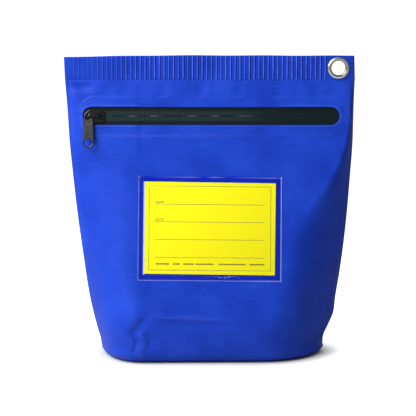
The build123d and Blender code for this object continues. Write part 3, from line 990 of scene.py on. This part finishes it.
def pocket_film():
    """Clear film: down on the fabric along the welds at its sides and foot, each weld a pair of pressed lines, and
    lifted clear of the card between them, with small waves along its open top and under the card's foot."""
    x = np.linspace(-POCKET_WIDTH / 2, POCKET_WIDTH / 2, 300)[None, :]
    y = np.linspace(-POCKET_HEIGHT / 2, POCKET_HEIGHT / 2, 220)[:, None]
    from_side = POCKET_WIDTH / 2 - np.abs(x)
    from_foot = y + POCKET_HEIGHT / 2
    inside = (smooth_step(from_side, SIDE_WELD, SIDE_WELD + 1.6)
              * smooth_step(from_foot, FOOT_WELD - 1.5, FOOT_WELD - 0.3))
    top = smooth_step(y, POCKET_HEIGHT / 2 - 9.0, POCKET_HEIGHT / 2)
    waves = 0.22 * top * np.sin(x / 4.1 + 0.9 * np.sin(x / 9.0)) * bell(x - 5.0, 45.0) + 0.30 * top
    slack = 0.10 * np.sin(x / 13.0 + y / 31.0) * np.sin(y / 17.0 + 0.4)
    foot = 0.16 * bell(from_foot - 4.6, 1.6) * np.sin(x / 3.1 + 1.4 * np.sin(x / 7.3)) * bell(x - 4.0, 40.0)
    nearest = np.minimum(from_side + 0 * y, from_foot + 0 * x)
    pressed = 0.34 * bell(nearest - 0.45, 0.38) + 0.20 * bell(nearest - 2.4, 0.42)
    h = 0.16 + inside * (0.62 + slack + waves) + pressed * (1 - 0.8 * inside) + foot
    past_card = np.maximum(np.abs(x) - CARD_WIDTH / 2, np.abs(y - card_middle_y) - CARD_HEIGHT / 2)
    clear_of_card = card_high[2] + FILM_THICKNESS + 0.10
    h = np.where(past_card < 0.6, np.maximum(h, clear_of_card), h)
    points = in_pocket(x + 0 * y, y + 0 * x, h)
    card_left = -CARD_WIDTH / 2
    # Painted highlights: pale lines along the welds, stronger to the right, along the mouth, beside the card's left
    # edge and in short wrinkles at the foot.
    edge = 0.20 * bell(nearest - 0.5, 0.34) * (0.5 + 0.5 * smooth_step(x + 0 * y, 20.0, 48.0))
    mouth_glint = (0.10 * bell(POCKET_HEIGHT / 2 - y - 1.0, 0.5)
             * (0.5 + 0.5 * np.sin(x / 5.3 + 1.7 * np.sin(x / 11.0))))
    beside = 0.60 * bell(x - card_left + 0 * y, 0.45) * (np.abs(y - card_middle_y) < CARD_HEIGHT / 2)
    wrinkle_glint = 0.30 * bell(from_foot - 3.6 - 0.5 * np.sin(x / 2.3), 0.4) * bell(x - 12.0, 9.0)
    wrinkle_glint = wrinkle_glint * (0.5 + 0.5 * np.sin(x * 1.7 + np.sin(x)))
    frost = np.clip(edge + mouth_glint + beside + wrinkle_glint, 0, 0.8)
    # The blue behind the film is made deeper between the card and the welds.
    cling = smooth_step(past_card, 0.1, 0.7) * smooth_step(nearest, 0.8, 1.6)
    mesh = new_mesh("pocket_film", points, grid_faces(*h.shape), frost=frost, cling=cling)
    return thicken(add_piece("pocket_film", mesh, film, "bag", "clear_film", "card_window", "window_border"),
                   FILM_THICKNESS)


def card():
    """The card, with its corners a little round."""
    half = np.array((CARD_WIDTH, CARD_HEIGHT)) / 2 - 0.5
    corners = [(sx * half[0], sy * half[1], 0.5) for sx in (-1, 1) for sy in (-1, 1)]
    mesh = rounded_slab("card", [hull_of_circles(corners)], card_low[2], card_high[2], 0.06,
                        lambda x, y, h: in_pocket(x, y + card_middle_y, h))
    return add_piece("card", mesh, card_yellow, "card", "card", "name_card")


def bars(name, rects, material):
    """Flat printed bars on the card: (left, right, lower, upper) from the card's middle."""
    rects = np.asarray(rects, float)
    x = rects[:, [0, 1, 1, 0]]
    y = rects[:, [2, 2, 3, 3]]
    top = in_pocket(x, y + card_middle_y, card_high[2] + 0.03)
    under = in_pocket(x, y + card_middle_y, card_high[2] - 0.05)
    points = np.concatenate([under, top], axis=1).reshape(-1, 3)
    cube = np.array([(4, 5, 6, 7), (3, 2, 1, 0), (0, 1, 5, 4), (1, 2, 6, 5), (2, 3, 7, 6), (3, 0, 4, 7)])
    faces = (8 * np.arange(len(rects)))[:, None, None] + cube
    return add_piece(name, new_mesh(name, points, faces), material, "card", "card", sharp=20.0)


def printed_lines():
    """A thin frame near the card's edge and four ruled lines."""
    width, height, line = CARD_WIDTH / 2 - 3.8, CARD_HEIGHT / 2 - 3.3, 0.36
    frame_bars = [
        (-width, width, height - line, height), (-width, width, -height, -height + line),
        (-width, -width + line, -height + line, height - line),
        (width - line, width, -height + line, height - line),
    ]
    rules = [(-43.9, 43.1, CARD_HEIGHT / 2 - drop - line / 2, CARD_HEIGHT / 2 - drop + line / 2)
             for drop in (18.0, 32.0, 46.1, 60.4)]
    return bars("card_lines", frame_bars + rules, ink_grey)


def printed_row():
    """A row of short dashes at the foot of the card, in place of small print."""
    groups = [(-42.5, 5, 2.1), (-29.0, 3, 1.9), (-21.0, 5, 1.7), (-11.0, 9, 1.6), (7.0, 13, 1.7),
              (32.0, 7, 1.7)]
    y = CARD_HEIGHT / 2 - 65.6
    dashes = [(start + i * pitch, start + i * pitch + 0.72 * pitch, y - 0.6, y + 0.6)
              for start, count, pitch in groups for i in range(count)]
    return bars("card_small_print", [d for d in dashes if d[1] < 43.5], ink_black)


def caption(name, text, x, y, size):
    """A short printed word on the card."""
    letters = bpy.data.curves.new(name, "FONT")
    letters.body = text
    letters.size = size
    letters.extrude = 0.04
    holder = bpy.data.objects.new(name, letters)
    mesh = bpy.data.meshes.new_from_object(holder)
    bpy.data.objects.remove(holder)
    own = np.empty(3 * len(mesh.vertices))
    mesh.vertices.foreach_get("co", own)
    own = own.reshape(-1, 3)
    placed = in_pocket(x + own[:, 0], y + card_middle_y + own[:, 1], card_high[2] + own[:, 2])
    mesh.vertices.foreach_set("co", (placed * MM).ravel())
    return add_piece(name, face_outward(weld(mesh)), ink_black, "card", "card", sharp=20.0)


front_sheet()
back_sheet()
base_sheet()
top_band()
tape("zip_side_upper", 1, "zip_tape_upper")
tape("zip_side_lower", -1, "zip_tape_lower")
coil("coil_upper", 1, "zip_coil_upper")
coil("coil_lower", -1, "zip_coil_lower")
slider()
pull()
eyelet()
washer()
pocket_film()
card()
printed_lines()
printed_row()
caption("caption_name", "NAME:", -43.8, CARD_HEIGHT / 2 - 17.2, 2.6)
caption("caption_date", "DATE:", -43.8, CARD_HEIGHT / 2 - 31.2, 2.6)

for name in ("zip_top_stop_upper", "zip_top_stop_lower", "zip_bottom_stop"):
    part = frame["nodes"][name]
    part.data.materials.clear()
    part.data.materials.append(stop_black)

# ---- floor, light and camera ----------------------------------------------------------------------------
def plain_floor():
    """A wide pale floor, bright for the camera through an emission that only camera rays see, with a painted
    contact shadow where ambient occlusion dims that emission near the bag.
    """
    half = 15000.0
    corners = np.array([(-half, -half, 0), (half, -half, 0), (half, half, 0), (-half, half, 0)])
    floor = bpy.data.objects.new("floor", new_mesh("floor", corners, np.array([(0, 1, 2, 3)])))
    material, tree, shader = new_material(
        "pale_floor", **{"Base Color": (0.50, 0.50, 0.50, 1.0), "Roughness": 0.9})
    rays = tree.nodes.new("ShaderNodeLightPath")
    # Painted shadow: ambient occlusion dims the floor's glow close to the bag.
    near = node(tree, "AmbientOcclusion", samples=16, Distance=0.020)
    open_sky = calc(tree, "POWER", near.outputs["AO"], 2.8)
    glow = calc(tree, "MULTIPLY", open_sky, calc(tree, "MULTIPLY", rays.outputs["Is Camera Ray"], 0.92))
    tree.links.new(glow, shader.inputs["Emission Strength"])
    shader.inputs["Emission Color"].default_value = (1.0, 1.0, 1.0, 1.0)
    floor.data.materials.append(material)
    scene.collection.objects.link(floor)


def studio_light():
    """A broad soft light from the upper left, and a pale room that is brighter on the left."""
    key = bpy.data.lights.new("key", "AREA")
    key.shape = "DISK"
    key.size = 0.85
    key.energy = 16.2
    holder = bpy.data.objects.new("key", key)
    around, above = radians(60), radians(44)
    towards = Vector((-sin(around) * cos(above), -cos(around) * cos(above), sin(above)))
    turn = towards.to_track_quat("Z", "Y").to_matrix().to_4x4()
    holder.matrix_world = Matrix.Translation(Vector((0.0, 0.0, 0.12)) + 0.95 * towards) @ turn
    scene.collection.objects.link(holder)

    world = bpy.data.worlds.new("room")
    scene.world = world
    world.use_nodes = True
    tree = world.node_tree
    room = tree.nodes["Background"]
    place = tree.nodes.new("ShaderNodeTexCoord")
    split = tree.nodes.new("ShaderNodeSeparateXYZ")
    tree.links.new(place.outputs["Generated"], split.inputs[0])
    spread = node(tree, "MapRange", From_Min=-0.65, From_Max=0.12, To_Min=0.75, To_Max=0.19)
    tree.links.new(split.outputs[0], spread.inputs[0])
    tree.links.new(spread.outputs[0], room.inputs["Strength"])
    room.inputs["Color"].default_value = (1.0, 1.0, 1.0, 1.0)
    seen = tree.nodes.new("ShaderNodeBackground")
    seen.inputs["Strength"].default_value = 1.1
    seen.inputs["Color"].default_value = (1.0, 1.0, 1.0, 1.0)
    rays = tree.nodes.new("ShaderNodeLightPath")
    mix = tree.nodes.new("ShaderNodeMixShader")
    tree.links.new(rays.outputs["Is Camera Ray"], mix.inputs[0])
    tree.links.new(room.outputs[0], mix.inputs[1])
    tree.links.new(seen.outputs[0], mix.inputs[2])
    output = next(n for n in tree.nodes if n.type == "OUTPUT_WORLD")
    tree.links.new(mix.outputs[0], output.inputs["Surface"])


def camera():
    """Nearly square on to the front, a little to the left and above, with a long lens."""
    azimuth, elevation, distance, roll = radians(1.75), radians(9.0), 1.2, radians(0.2)
    aim = Vector((-0.0008, 0.0, 0.1197))
    ahead = Vector((sin(azimuth) * cos(elevation), cos(azimuth) * cos(elevation), -sin(elevation)))
    data = bpy.data.cameras.new("camera")
    data.sensor_width = 36.0
    data.lens = 127.6
    holder = bpy.data.objects.new("camera", data)
    turn = ahead.to_track_quat("-Z", "Y").to_matrix().to_4x4() @ Matrix.Rotation(roll, 4, "Z")
    holder.matrix_world = Matrix.Translation(aim - distance * ahead) @ turn
    scene.collection.objects.link(holder)
    scene.camera = holder


plain_floor()
studio_light()
camera()
